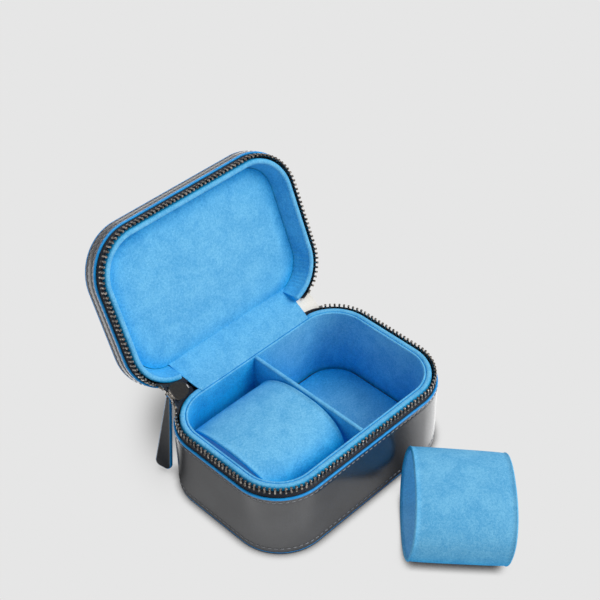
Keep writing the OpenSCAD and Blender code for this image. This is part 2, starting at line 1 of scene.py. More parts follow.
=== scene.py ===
# %% [markdown]
# This is a zip case for two watches, open on a table, with one soft cuff in its well and one
# beside it. The real case is a stiff board box under smooth leather. Fine suede lines it, and
# a metal zip runs round three of its sides. The engineering model gives every place, so this
# lesson only dresses it: each piece is a surface worked out from a formula with numpy.

# %% Load the frame
import math

import bpy
import numpy as np
from mathutils import Matrix


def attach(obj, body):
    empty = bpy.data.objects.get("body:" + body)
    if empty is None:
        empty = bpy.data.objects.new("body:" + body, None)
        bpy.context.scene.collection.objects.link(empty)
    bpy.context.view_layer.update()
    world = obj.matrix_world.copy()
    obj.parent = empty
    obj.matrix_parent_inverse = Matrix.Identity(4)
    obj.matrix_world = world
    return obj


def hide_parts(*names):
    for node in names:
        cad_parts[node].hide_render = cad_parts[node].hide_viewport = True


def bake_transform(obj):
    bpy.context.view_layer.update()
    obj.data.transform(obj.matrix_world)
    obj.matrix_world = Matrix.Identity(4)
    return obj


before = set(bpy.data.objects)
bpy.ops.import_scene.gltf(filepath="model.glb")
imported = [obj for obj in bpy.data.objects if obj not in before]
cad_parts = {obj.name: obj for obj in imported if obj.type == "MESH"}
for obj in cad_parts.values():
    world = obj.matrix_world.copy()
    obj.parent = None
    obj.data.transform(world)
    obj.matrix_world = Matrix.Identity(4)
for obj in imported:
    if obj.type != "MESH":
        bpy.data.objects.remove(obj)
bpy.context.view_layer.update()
MM = 0.001

# %% [markdown]
# The camera comes first. Its place was found by fitting the case's edges, so it is written as
# angles round the case, a distance, and a small sideways and upward step. The lens follows
# from the width of the picture, and no shift is needed.

# %% The camera
azimuth, elevation, roll = np.radians([-44.379, 40.916, -1.182])
backward = np.array([
    math.sin(azimuth) * math.cos(elevation),
    -math.cos(azimuth) * math.cos(elevation),
    math.sin(elevation),
])
level = np.array([math.cos(azimuth), math.sin(azimuth), 0])
upright = np.cross(backward, level)
rightward = math.cos(roll) * level + math.sin(roll) * upright
upward = math.cos(roll) * upright - math.sin(roll) * level
AIM_HEIGHT, DISTANCE, LEFT_STEP, UP_STEP = 0.03, 0.69774, 0.004022, 0.057546
stand = np.array([0, 0, AIM_HEIGHT]) + DISTANCE * backward
stand += UP_STEP * upward - LEFT_STEP * rightward


def stand_at(thing, axes, place):
    """Puts a camera or lamp at a place, with its own x, y and z along the axes."""
    turn = np.eye(4)
    turn[:3] = np.column_stack([*axes, place])
    thing.matrix_world = Matrix(turn.tolist())
    bpy.context.scene.collection.objects.link(thing)


camera = bpy.data.objects.new("camera", bpy.data.cameras.new("camera"))
stand_at(camera, (rightward, upward, backward), stand)
camera.data.sensor_width = 36
camera.data.lens = 82.06
camera.data.clip_start = 0.01
bpy.context.scene.camera = camera
print("camera stands at", stand.round(3))

# %% [markdown]
# Shader maths reads best as plain sums. One small class wraps a socket and turns + - * / into
# Math nodes, with the reflected forms so that 1 - mask works. A second class holds one
# material, and its one method adds any other node.

# %% Sums of sockets
class Flow:
    """A socket that carries numbers between shader nodes."""

    def __init__(self, finish, socket):
        self.finish, self.socket = finish, socket

    def maths(self, operation, *numbers):
        return self.finish.node("ShaderNodeMath", {"operation": operation}, *numbers)

    def __add__(self, other):
        return self.maths("ADD", self, other)

    def __sub__(self, other):
        return self.maths("SUBTRACT", self, other)

    def __rsub__(self, other):
        return self.maths("SUBTRACT", other, self)

    def __mul__(self, other):
        return self.maths("MULTIPLY", self, other)

    def __truediv__(self, other):
        return self.maths("DIVIDE", self, other)

    __radd__ = __add__
    __rmul__ = __mul__

    def smooth(self, low, high):
        """0 below low, 1 above high, and a soft step between."""
        settings = {"interpolation_type": "SMOOTHSTEP"}
        return self.finish.node("ShaderNodeMapRange", settings, self, low, high)


# %% One material
class Finish:
    """A material, its principled shader and its one way to add nodes."""

    def __init__(self, name, **constants):
        self.material = bpy.data.materials.new(name)
        self.material.use_nodes = True
        self.tree = self.material.node_tree
        self.shader = self.tree.nodes["Principled BSDF"]
        for socket, value in constants.items():
            self.shader.inputs[socket.replace("_", " ")].default_value = value

    def node(self, kind, settings=None, *values, out=0, **named):
        """Adds a node, sets it up, and joins values to its sockets by order or by name."""
        made = self.tree.nodes.new(kind)
        for key, value in (settings or {}).items():
            setattr(made, key, value)
        sockets = [(made.inputs[k], v) for k, v in enumerate(values)]
        sockets += [(made.inputs[k.replace("_", " ")], v) for k, v in named.items()]
        for socket, value in sockets:
            self.join(value, socket)
        return Flow(self, made.outputs[out])

    def join(self, value, socket):
        if isinstance(value, Flow):
            self.tree.links.new(value.socket, socket)
        elif value is not None:
            socket.default_value = value

    def surface(self, **values):
        """Feeds the shader's own sockets."""
        for name, value in values.items():
            self.join(value, self.shader.inputs[name.replace("_", " ")])
        return self.material

    def place(self):
        return self.node("ShaderNodeTexCoord", out="Object")

    def clouds(self, size, detail=2, rough=0.5, bent=0):
        """Noise whose features are about size millimetres across."""
        return self.node(
            "ShaderNodeTexNoise", None, self.place(),
            Scale=1 / (size * MM), Detail=detail, Roughness=rough, Distortion=bent,
        )

    def blend(self, share, first, second):
        """One colour into another by share."""
        made = self.tree.nodes.new("ShaderNodeMix")
        made.data_type = "RGBA"
        for socket, value in ((0, share), (6, first), (7, second)):
            self.join(value, made.inputs[socket])
        return Flow(self, made.outputs[2])

    def relief(self, height, depth, under=None):
        """A bump of depth millimetres."""
        return self.node(
            "ShaderNodeBump", None, Strength=1, Distance=depth * MM, Height=height, Normal=under
        )


def tint(red, green, blue):
    """A colour as seen, 0 to 255, turned into light."""
    c = np.array([red, green, blue]) / 255
    light = np.where(c > 0.04045, ((c + 0.055) / 1.055) ** 2.4, c / 12.92)
    return (*light.tolist(), 1)


# %% [markdown]
# Suede is a nap of short fibres. Close to, it is a fine speckle; from farther off, patches
# where the nap lies another way look lighter or darker. Three sizes of noise give both. Shade
# is painted in: where ambient occlusion finds a place closed in, the colour turns a deeper blue,
# as light bounced from suede to suede makes it; open places keep the fibres' pale, painted haze.

# %% Suede
def suede(name, colour, shade, patch=0.35, **constants):
    made = Finish(name, Specular_IOR_Level=0.2, Sheen_Weight=0.06, Sheen_Roughness=0.4, **constants)
    made.shader.inputs["Sheen Tint"].default_value = tint(190, 222, 245)
    fibre = made.clouds(0.45, 3, 0.8)
    grain = made.clouds(1.1, 4, 0.75)
    patches = made.clouds(9, 4, 0.65, bent=0.4)
    speckle = fibre.smooth(0.4, 0.6) * 0.4 + grain.smooth(0.38, 0.62) * 0.4
    nap = patches.smooth(0.34, 0.68) * patch + speckle
    sky = made.node("ShaderNodeAmbientOcclusion", {"samples": 6}, out="AO", Distance=30 * MM)
    # Painted shade: closed-in places, found by ambient occlusion, turn a deeper blue.
    painted_deep_shade = made.blend(nap, tint(0, 192, 255), tint(0, 144, 214))
    return made.surface(
        Base_Color=made.blend(sky.smooth(0.3, 1.0), painted_deep_shade, made.blend(nap, colour, shade)),
        Roughness=0.86 + fibre * 0.12,
        Normal=made.relief(fibre + grain * 0.7, 0.16),
    )


lit_suede = suede("suede_blue", tint(130, 206, 244), tint(78, 166, 220))
cuff_suede = suede("suede_cuff", tint(132, 206, 244), tint(82, 168, 220))
# The cuffs' inside glows faintly: painted light that lifts their shaded inside to a lighter blue.
glowing_inner_suede = suede(
    "suede_cuff_inside_glowing", tint(124, 178, 210), tint(90, 146, 184),
    Emission_Color=tint(60, 112, 150), Emission_Strength=0.5,
)
print("suede finishes made")

# %% [markdown]
# The leather is smooth and dressed with wax, so it mirrors the room softly. Its grain is very
# shallow, its roughness drifts from place to place, and long low waves in it bend the
# reflections as they do over a real board.

# %% Leather and its painted edge
def smooth_leather():
    made = Finish("leather_grey", Specular_IOR_Level=0.2, Coat_Roughness=0.17, Coat_IOR=1.95)
    grain = made.node(
        "ShaderNodeTexVoronoi", {"feature": "DISTANCE_TO_EDGE"}, made.place(),
        Scale=1 / (0.75 * MM),
    )
    pores = made.clouds(0.35, 3, 0.6)
    drift = made.clouds(16, 4, 0.6)
    waves = made.clouds(30, 1, 0.4)
    creases = grain.smooth(0, 0.16)
    tone = made.blend(drift.smooth(0.3, 0.7), tint(30, 34, 42), tint(40, 44, 52))
    fine = made.relief(creases * 0.5 + pores * 0.4, 0.035)
    return made.surface(
        Base_Color=made.blend(1 - creases, tone, tint(24, 27, 33)),
        Roughness=0.33 + drift * 0.1 + pores * 0.04,
        Coat_Weight=0.7 + drift * 0.3,
        Normal=made.relief(waves, 0.5, fine),
    )


def edge_paint():
    made = Finish("edge_paint_blue", Specular_IOR_Level=0.5)
    runs = made.clouds(2.5, 3, 0.6)
    return made.surface(
        Base_Color=made.blend(runs.smooth(0.3, 0.7), tint(0, 140, 216), tint(6, 160, 236)),
        Roughness=0.36 + runs * 0.16,
        Normal=made.relief(runs, 0.08),
    )


leather, blue_edge = smooth_leather(), edge_paint()

# %% [markdown]
# The rest of the finishes are small: twill tape, dark plated teeth worn bright in patches,
# thread, the cream tab and board. The tape's twill follows the piece's own
# map, whose units are metres, so its ribs stay the same width round the corners.

# %% Tape, metal, thread and the unseen stuffs
def twill_tape(name, dark, light):
    made = Finish(name, Specular_IOR_Level=0.3, Sheen_Weight=0.1)
    mapped = made.node("ShaderNodeTexCoord", out="UV")
    across = made.node("ShaderNodeSeparateXYZ", None, mapped, out=0)
    along = made.node("ShaderNodeSeparateXYZ", None, mapped, out=1)
    slope = across * 0.6 + along
    rib = slope.maths("SINE", slope / (0.09 * MM))
    fuzz = made.clouds(0.6, 2)
    return made.surface(
        Base_Color=made.blend(rib * 0.3 + fuzz * 0.7, dark, light),
        Roughness=0.8 + fuzz * 0.15,
        Normal=made.relief(rib * 0.5 + fuzz * 0.5, 0.12),
    )


def plated_metal(name, dark, light, rough):
    made = Finish(name)
    wear = made.clouds(1.1, 3, 0.65)
    spots = made.clouds(0.35, 2)
    return made.surface(
        Base_Color=made.blend(wear.smooth(0.42, 0.62), dark, light),
        Metallic=0.9 + wear * 0.1,
        Roughness=rough + spots * 0.16,
        Normal=made.relief(spots, 0.03),
    )


def plain_stuff(name, first, second, size, rough, depth):
    made = Finish(name, Specular_IOR_Level=0.3)
    mix = made.clouds(size, 4, 0.6)
    return made.surface(
        Base_Color=made.blend(mix.smooth(0.3, 0.7), first, second),
        Roughness=rough + mix * 0.1,
        Normal=made.relief(mix, depth),
    )


tape = twill_tape("tape_navy", tint(10, 15, 26), tint(24, 33, 50))
teeth_metal = plated_metal("metal_teeth", tint(84, 78, 72), tint(184, 176, 166), 0.24)
slider_metal = plated_metal("metal_slider", tint(58, 56, 54), tint(66, 64, 61), 0.3)
bright_metal = plated_metal("metal_bright", tint(120, 116, 112), tint(215, 211, 205), 0.15)
thread = plain_stuff("thread_grey", tint(120, 122, 127), tint(150, 152, 156), 0.3, 0.7, 0.08)
cream = plain_stuff("tab_cream", tint(252, 249, 242), tint(244, 240, 230), 0.8, 0.5, 0.05)
board = plain_stuff("board_dark", tint(46, 46, 50), tint(58, 57, 60), 0.9, 0.8, 0.06)
print("finishes made:", len(bpy.data.materials))

# %% [markdown]
# Nearly every piece is a profile carried round the case, so the case's outline is the first
# helper. A rounded rectangle is a smaller rectangle of corner centres plus a turning arm: on
# a straight side the centre slides and the arm keeps still, and in a corner the arm turns.
# Both are straight lines against the length walked, so np.interp gives them at once.

# %% Walking round the case
SIDE_X, SIDE_Y, CORNER = 38.5, 18.5, 26.5
ZIP_INSET = 1.5


def walk(s, radius):
    """Corner centres and arm angles, s mm clockwise from the back's middle."""
    quarter = math.pi / 2 * radius
    side = [quarter, 2 * SIDE_Y, quarter]
    marks = np.cumsum([0, SIDE_X, *side, 2 * SIDE_X, *side, SIDE_X])
    h = SIDE_X
    cx = np.interp(s, marks, [0, h, h, h, h, -h, -h, -h, -h, 0])
    h = SIDE_Y
    cy = np.interp(s, marks, [h, h, h, -h, -h, -h, -h, h, h, h])
    return cx, cy, np.radians(np.interp(s, marks, [90, 90, 0, 0, -90, -90, -180, -180, -270, -270]))


def lap(radius):
    """Length once round."""
    return 2 * math.pi * radius + 4 * (SIDE_X + SIDE_Y)


def carried(profile, s, radius=CORNER):
    """Each profile point (inset, height) carried along s: centre + arm * (radius - inset)."""
    cx, cy, a = (v[:, None] for v in walk(s, radius))
    profile = np.broadcast_to(profile, (len(s), *np.shape(profile)[-2:]))
    arm = radius - profile[..., 0]
    return np.stack([cx + arm * np.cos(a), cy + arm * np.sin(a), profile[..., 1]], -1)


def round_trip(columns):
    return np.linspace(0, lap(CORNER), columns, endpoint=False)


# %% [markdown]
# A grid of points becomes a mesh in one go. Faces are index sums, the map is the length
# along both directions in metres, and a ring that is open at its ends is closed by quads
# from one side of the ring to the other. Last, the signed volume says whether the faces
# point outwards, and a negative one turns them all round.

# %% A skin over a grid
def skin(name, grid, wrap=(True, True), sharp=50):
    """Grid (n, m, 3) in mm to a closed mesh object; wrap says which directions close."""
    n, m = grid.shape[:2]
    rows, cols = n - (not wrap[0]), m - (not wrap[1])
    i, j = np.meshgrid(np.arange(rows), np.arange(cols), indexing="ij")
    corners = [(i, j), (i + 1, j), (i + 1, j + 1), (i, j + 1)]
    faces = np.stack([(a % n) * m + b % m for a, b in corners], -1).reshape(-1, 4)
    step_u = np.linalg.norm(np.diff(grid, axis=0, append=grid[:1]), axis=-1).mean(1)
    step_v = np.linalg.norm(np.diff(grid, axis=1, append=grid[:, :1]), axis=-1).mean(0)
    u = np.concatenate([[0], np.cumsum(step_u)])
    v = np.concatenate([[0], np.cumsum(step_v)])
    uv = np.stack([np.stack([u[a], v[b]], -1) for a, b in corners], -2).reshape(-1, 2)
    if wrap[1] and not wrap[0]:
        k = np.arange(m // 2 - 1)
        for start, order in ((0, 1), ((n - 1) * m, -1)):
            cap = start + np.stack([k, m - 1 - k, m - 2 - k, k + 1], -1)[:, ::order]
            faces = np.concatenate([faces, cap])
            uv = np.concatenate([uv, grid.reshape(-1, 3)[cap.ravel(), :2]])
    return mesh_of(name, grid.reshape(-1, 3), faces, uv, sharp)


def mesh_of(name, points, faces, uv=None, sharp=50):
    points = np.asarray(points, float)
    a, b, c = (points[faces[:, k]] for k in range(3))
    d = points[faces[:, -1]]
    volume = (a * np.cross(b, c)).sum() + (a * np.cross(c, d)).sum()
    if volume < 0:
        faces = faces[:, ::-1]
        uv = None if uv is None else uv.reshape(len(faces), -1, 2)[:, ::-1].reshape(-1, 2)
    mesh = bpy.data.meshes.new(name)
    mesh.from_pydata((points * MM).tolist(), [], faces.tolist())
    mesh.uv_layers.new(name="map")
    if uv is not None:
        mesh.uv_layers[0].data.foreach_set("uv", (uv * MM).astype(np.float32).ravel())
    mesh.polygons.foreach_set("use_smooth", np.ones(len(faces), bool))
    mesh.set_sharp_from_angle(angle=math.radians(sharp))
    piece = bpy.data.objects.new(name, mesh)
    bpy.context.scene.collection.objects.link(piece)
    return piece


# %% Dressing a piece
def dress(piece, finish, slot, body, *stands_for):
    """Gives a piece its material and its body, and hides the nodes that it stands for."""
    piece.data.materials.append(finish)
    if body:
        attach(piece, body)
    if stands_for:
        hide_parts(*stands_for)
    return piece


# %% [markdown]
# The lid is worked out closed, where its numbers are simple, and then turned about the hinge
# line to where it stands open. The slider stands at half that angle.

# %% Turning about the hinge
HINGE_Y, HINGE_Z, OPEN = 46.3, 45.6, 112.6


def turned(points, degrees):
    """Points turned about the hinge line."""
    a = np.radians(degrees)
    p = np.asarray(points, float)
    y, z = p[..., 1] - HINGE_Y, p[..., 2] - HINGE_Z
    y, z = y * np.cos(a) - z * np.sin(a), y * np.sin(a) + z * np.cos(a)
    return np.stack([p[..., 0], HINGE_Y + y, HINGE_Z + z], -1)


def opened(points):
    return turned(points, -OPEN)


hinge = np.array([0, HINGE_Y, HINGE_Z])


def arc(middle, radius, start, stop, n=7):
    """Points (inset, height) on part of a circle, angles in degrees."""
    a = np.radians(np.linspace(start, stop, n))
    return np.stack([middle[0] + radius * np.cos(a), middle[1] + radius * np.sin(a)], -1)


def line(first, last, n):
    return np.linspace(first, last, n)


# %% [markdown]
# The leather walls come next. Each is a profile with softly turned edges, and along every
# seam it sinks a little where the thread pulls it in. The lid's wall is the same profile,
# lower and upside down.

# %% Leather walls
def wall_profile(low, high, seams):
    """Up the outside, over the edge and down the inside; seams dent the outside."""
    z = line(low + 0.5, high - 0.5, 60)
    dent = sum(0.24 * np.exp(-((z - seam) / 0.55) ** 2) for seam in seams)
    outside = np.stack([dent, z], -1)
    over = arc((0.5, high - 0.5), 0.5, 180, 90)[1:]
    under = arc((0.5, low + 0.5), 0.5, 270, 180)[:-1]
    return np.concatenate([under, outside, over, [[1.15, high], [1.15, low]]])


BASE_SEAMS, LID_SEAMS = (37.9, 4.1), (53.4, 57.2)
FOOT, RIM, LID_RIM, LID_SHOULDER = 1.3, 40, 51.2, 58.6
wall = skin("base_wall", carried(wall_profile(FOOT, RIM, BASE_SEAMS), round_trip(360)))
dress(wall, leather, "leather", "base", "base_wall_leather")
lid_grid = opened(carried(wall_profile(LID_RIM, LID_SHOULDER, LID_SEAMS), round_trip(360)))
dress(skin("lid_wall", lid_grid), leather, "leather", "lid", "lid_wall_leather")


# %% [markdown]
# Stitches are small rods of thread with rounded ends, half sunk in the leather. One rod is
# made and copied to every place by an array product, so a row of a hundred costs one line.

# %% Copies of a small shape
def fuller(a, power):
    """Cosine and sine of a, each raised to power: 1 is a circle, less is squarer."""
    return np.stack([np.sign(f(a)) * abs(f(a)) ** power for f in (np.cos, np.sin)], -1)


def rod(length, thick, rings=5, sides=6):
    """A rod along x whose ends narrow as a circle does."""
    t = np.linspace(-1, 1, rings)
    r = thick / 2 * np.sqrt(np.clip(1.05 - t**4, 0, 1))
    a = np.linspace(0, 2 * math.pi, sides, endpoint=False)
    x = np.broadcast_to((t * length / 2)[:, None], (rings, sides))
    return np.stack([x, r[:, None] * np.cos(a), r[:, None] * np.sin(a)], -1)


def copies(name, grid, origins, frames, sharp=50):
    """One small ring-shaped grid at many places; frames are rows of unit directions."""
    n, m = grid.shape[:2]
    i, j = np.meshgrid(np.arange(n - 1), np.arange(m), indexing="ij")
    quads = [i * m + j, (i + 1) * m + j, (i + 1) * m + (j + 1) % m, i * m + (j + 1) % m]
    faces = np.stack(quads, -1).reshape(-1, 4)
    k = np.arange(m // 2 - 1)
    ends = np.stack([k, k + 1, m - 2 - k, m - 1 - k], -1)
    faces = np.concatenate([faces, ends[:, ::-1], ends + (n - 1) * m])
    points = np.einsum("kc,ncd->nkd", grid.reshape(-1, 3), frames) + origins[:, None]
    step = n * m * np.arange(len(origins))
    every = (faces[None] + step[:, None, None]).reshape(-1, 4)
    return mesh_of(name, points.reshape(-1, 3), every, None, sharp)


def stations(s, inset, height, radius=CORNER):
    """Origins on the outline and frames of (along, outward, up)."""
    cx, cy, a = walk(s, radius)
    arm = radius - inset
    zero = np.zeros_like(a)
    origins = np.stack([cx + arm * np.cos(a), cy + arm * np.sin(a), zero + height], -1)
    along = np.stack([np.sin(a), -np.cos(a), zero], -1)
    outward = np.stack([np.cos(a), np.sin(a), zero], -1)
    up = np.stack([zero, zero, zero + 1], -1)
    return origins, np.stack([along, outward, up], -2)


# %% Rows of stitches
STITCH = rod(2.1, 0.56)
for body, seams, place in (("base", BASE_SEAMS, None), ("lid", LID_SEAMS, opened)):
    for row, height in zip(("upper", "lower"), seams):
        count = round(lap(CORNER) / 3.15)
        origins, frames = stations(round_trip(count), 0.1, height)
        if place:
            origins, frames = place(origins), place(frames + hinge) - hinge
        seam = copies(f"{body}_{row}_stitches", STITCH, origins, frames)
        dress(seam, thread, "leather", body)
print("stitches in a row:", count)


# %% [markdown]
# Painted edges are beads: the paint pulls itself round, a little prouder than the leather.
# The bottom and the lid's top are slabs of leather with the same bead round them. A slab is
# a set of rings that shrink towards its middle, closed there by a small last ring.

# %% Beads of edge paint
def bead(name, middle, size, place, body, node):
    """A circle made fuller and flattened to half sizes (inset, height), carried round."""
    a = np.linspace(0, 2 * math.pi, 14, endpoint=False)
    ring = fuller(a, 0.75) * size + middle
    grid = carried(ring, round_trip(300))
    return dress(skin(name, place(grid)), blue_edge, "edge_paint", body, node)


def same(points):
    return points


def eased(share):
    """0 to 1 with a soft start and a soft stop."""
    return share**2 * (3 - 2 * share)


bead("base_rim_bead", (0.53, 39.9), (0.63, 0.62), same, "base", "base_rim_edge_paint")
bead("lid_rim_bead", (0.53, 51.3), (0.63, 0.62), opened, "lid", "lid_rim_edge_paint")
bead("base_bottom_bead", (0.52, 0.85), (0.28, 0.24), same, "base", "base_bottom_edge_paint")
bead("lid_top_bead", (0.36, 58.95), (0.3, 0.34), opened, "lid", "lid_top_edge_paint")


# %% Slabs
def slab(name, rings, place=same):
    """Rings (inset, height, share of the way to the middle) joined into a closed slab."""
    rings = np.array(rings, float)
    grid = carried(rings[:, :2], round_trip(240))
    grid[..., :2] *= 1 - rings[:, 2, None]
    grid = np.moveaxis(grid, 1, 0)
    return skin(name, place(grid), wrap=(False, True), sharp=60)


inward = [0.3, 0.6, 0.85, 0.99]
bottom = [(0.4, 0, t) for t in inward[::-1]] + [(0.5, 0, 0), (0.35, 0.3, 0), (0.35, 1.25, 0)]
bottom += [(0.4, 1.28, t) for t in inward]
dress(slab("base_bottom", bottom), leather, "leather", "base", "base_bottom_leather")
top = [(0.4, 58.62, t) for t in inward[::-1]]
top += [(0.35, 58.7, 0), (0.35, 59.75, 0), (0.6, 59.95, 0)]
top += [(0.8, 60.0 + 0.25 * math.sin(t * math.pi / 2), t) for t in (0.04, 0.12, *inward)]
dress(slab("lid_top", top, opened), leather, "leather", "lid", "lid_top_leather")

# %% [markdown]
# The zip is two tapes with metal teeth crimped to their edges. Each tape is a thin profile
# that ends in a round cord, which is what the teeth grip. It starts and stops short of the
# back, so its walk is only part of the way round.

# %% Zip tapes
ZIP_LAP = lap(CORNER - ZIP_INSET)
TAPE_RUN = (SIDE_X + 1.5, SIDE_X + ZIP_LAP - 2 * SIDE_X - 20.7)


def zip_stations(s, inset, height):
    return stations(s, inset - ZIP_INSET, height, CORNER - ZIP_INSET)


def tape_profile(low, edge):
    """A flat tape 0.56 thick with a cord 1 thick along its edge; inset from the zip line."""
    cord = arc((0, edge - 0.5), 0.5, 215, -35, 9)
    side = np.array([[0.28, edge - 1.2], [0.28, low]])
    return np.concatenate([side[::-1] * [-1, 1], cord, side])


tape_s = np.linspace(*TAPE_RUN, 300)
base_tape = carried(tape_profile(32, 44.5), tape_s, CORNER - ZIP_INSET)
base_tape[..., 2] += 0.6 * np.clip((TAPE_RUN[0] + 11 - tape_s) / 3, 0, 1)[:, None]
dress(skin("base_tape", base_tape, (False, True)), tape, "zip_tape", "base", "base_zip_tape")
lid_tape = base_tape[tape_s > SIDE_X + 8]
lid_tape[..., 2] = np.clip(lid_tape[..., 2], 34.2, 44.5)
lid_tape[..., 2] = 2 * HINGE_Z - lid_tape[..., 2]
dress(skin("lid_tape", opened(lid_tape), (False, True)), tape, "zip_tape", "lid", "lid_zip_tape")

# %% [markdown]
# A tooth is wide where it clasps the cord, narrow at its neck and wide again at its head.
# Eight rounded sections from foot to head give that with few faces, and a hundred and more
# of them follow the tape.

# %% Teeth
def tooth():
    """Sections (half length along the tape, half thickness) from foot to head."""
    z = np.array([-3.2, -3.05, -2.3, -1.7, -1.15, -0.75, -0.25, 0])
    half_x = np.array([0.5, 0.6, 0.62, 0.56, 0.5, 0.56, 0.62, 0.46])
    half_y = np.array([0.7, 0.85, 0.85, 0.72, 0.52, 0.62, 0.7, 0.45])
    a = np.radians(np.arange(8) * 45 + 22.5)
    x, y = fuller(a, 0.55).T
    grid = [half_x[:, None] * x, half_y[:, None] * y, np.broadcast_to(z[:, None], (8, 8))]
    return np.stack(grid, -1)


TOOTH = tooth()
PITCH, TOOTH_TOP = 2.54, 46.4
first = SIDE_X + 15.5
last = SIDE_X + ZIP_LAP - 2 * SIDE_X - 22
base_s = np.arange(first, last, PITCH)
origins, frames = zip_stations(base_s, ZIP_INSET, TOOTH_TOP)
row = copies("base_teeth", TOOTH, origins, frames, 35)
dress(row, teeth_metal, "zip_metal", "base", "base_zip_teeth")
origins, frames = zip_stations(base_s + PITCH / 2, ZIP_INSET, 2 * HINGE_Z - TOOTH_TOP)
frames = frames * np.array([1, 1, -1])[:, None]
row = copies("lid_teeth", TOOTH, opened(origins), opened(frames + hinge) - hinge, 35)
dress(row, teeth_metal, "zip_metal", "lid", "lid_zip_teeth")
print("teeth on each tape:", len(base_s))

# %% [markdown]
# Suede lips stand inside the zip and meet when the case shuts. Each is a soft roll: a
# profile with a round top. The base's roll dips at the back, where the hinge strip lies over
# it. The tray's wall is a thinner board in the same suede, a little lower, so that the two
# edges and the crease between them show as a double line.

# %% Lips and tray wall
def roll_profile(outer, inner, low, high, soft):
    """Up one side, over a soft top and down the other side."""
    up = line((outer, low), (outer, high - soft), 6)
    down = line((inner, high - soft), (inner, low), 6)
    over = np.concatenate([
        arc((outer + soft, high - soft), soft, 180, 90, 7)[1:],
        arc((inner - soft, high - soft), soft, 90, 0, 7)[:-1],
    ])
    return np.concatenate([up, over, down])


LIP_OUTER, LIP_INNER, LIP_TOP, LIP_SOFT = 3.3, 6.2, 45.5, 1.25
s = round_trip(420)
base_lip = carried(roll_profile(LIP_OUTER, LIP_INNER, 3, LIP_TOP, LIP_SOFT), s)
x, y, z = np.moveaxis(base_lip, -1, 0)
at_back = (y > 30) * np.clip(np.minimum(x + 35.5, 43 - x) / 3, 0, 1)
base_lip[..., 2] -= 0.8 * eased(at_back) * (z > 40)
piece = skin("base_lip", base_lip)
dress(piece, lit_suede, "suede", "base", "base_lip_suede", "base_lip_foam")
tray = carried(roll_profile(6.25, 7.45, 2.85, 45.15, 0.58), s)
dress(skin("tray_wall_suede", tray), lit_suede, "suede", "base", "tray_wall")


# %% [markdown]
# The divider is a board in suede, with a rounded top. Two pads lie on the wells' floor. Each
# has the tray's big corners on one side and small ones at the divider, so its outline is
# blended from both, and its top rolls over at the rim and stays a little full in the middle.

# %% Divider
HALF_BOARD, BOARD_LOW, BOARD_TOP, BOARD_REACH = 1.15, 4.1, 44.2, 37.5
profile = np.concatenate([
    line((-HALF_BOARD, BOARD_LOW), (-HALF_BOARD, BOARD_TOP), 8),
    arc((0, BOARD_TOP), 1, 180, 0, 11) * [HALF_BOARD, 1] - [0, 0.1],
    line((HALF_BOARD, BOARD_TOP), (HALF_BOARD, BOARD_LOW), 8),
])
y = np.linspace(-BOARD_REACH, BOARD_REACH, 60)[:, None]
x, y, z = np.broadcast_arrays(profile[:, 0], y, profile[:, 1])
grid = np.stack([x, y, z], -1)
dress(skin("divider", grid, (False, True)), lit_suede, "suede", "base", "tray_divider")


# %% Floor pads
def raised(flat, heights):
    """Points in a plane (n, m, 2) with a third number of their own."""
    heights = np.broadcast_to(heights, flat.shape[:2])
    return np.concatenate([flat, heights[..., None]], -1)


def dense(corners, n):
    """A closed outline of n points spaced evenly along its corners."""
    ring = np.concatenate([corners, corners[:1]])
    step = np.linalg.norm(np.diff(ring, axis=0), axis=1)
    s = np.concatenate([[0], np.cumsum(step)])
    at = np.linspace(0, s[-1], n, endpoint=False)
    return np.stack([np.interp(at, s, ring[:, k]) for k in (0, 1)], -1)


def pad_outline(n=200):
    """Right pad, anticlockwise: big corners at the case's end, small ones at the divider."""
    spans = [(38.5, -18.5, 17.5, -90, 0), (38.5, 18.5, 17.5, 0, 90)]
    spans += [(3.2, 34, 2, 90, 180), (3.2, -34, 2, 180, 270)]
    corners = [arc((cx, cy), r, a0, a1, n // 4) for cx, cy, r, a0, a1 in spans]
    return dense(np.concatenate(corners), n)


def floor_pad(side):
    """Rings of the outline, each a share of the way to the middle and at a height."""
    ring = pad_outline()
    middle = np.array([29, 0])
    under, over = (0.99, 0.6, 0.2, 0.03, 0, 0), (0.012, 0.035, 0.08, 0.16, 0.35, 0.6, 0.85, 0.99)
    shares = np.array([*under, *over])
    heights = np.array([*[4.05] * 4, 4.4, 5.4, 5.95, 6.2, 6.31, 6.36, 6.39, 6.4, 6.4, 6.4])
    grid = raised(middle + (ring - middle)[None] * (1 - shares)[:, None, None], heights[:, None])
    grid[..., 0] *= side
    return skin("right_pad" if side > 0 else "left_pad", grid, (False, True), 60)


for side, node in ((1, "right_floor_pad"), (-1, "left_floor_pad")):
    pad = dress(floor_pad(side), lit_suede, "suede", "base", node)

# %% [markdown]
# Inside the lid, a lip like the base's runs round and stops at the hinge strip. From it a
# lining slopes down to the padded panel. In the real case its suede is gathered in the back
# right corner, so fine pleats run across it there: a wave along the walk, strongest at the
# corner and halfway from lip to panel.

# %% Lid lip
LIP_START, LIP_STOP = 42.2, -40.2
lid_s = np.linspace(LIP_START, lap(CORNER) + LIP_STOP, 400)
lip = carried(roll_profile(LIP_OUTER, LIP_INNER, 34.2, LIP_TOP, LIP_SOFT), lid_s)
lip[..., 2] = 2 * HINGE_Z - lip[..., 2]
ends = np.minimum(lid_s - lid_s[0], lid_s[-1] - lid_s)[:, None]
round_end = 1 - np.sqrt(np.clip(1 - np.clip(1 - ends / 1.8, 0, 1) ** 2, 0, 1))
lip[..., 2] += round_end * (lip[..., 2] < 50) * 1.6
piece = skin("lid_lip", opened(lip), (False, True))
dress(piece, lit_suede, "suede", "lid", "lid_lip_suede", "lid_lip_foam")

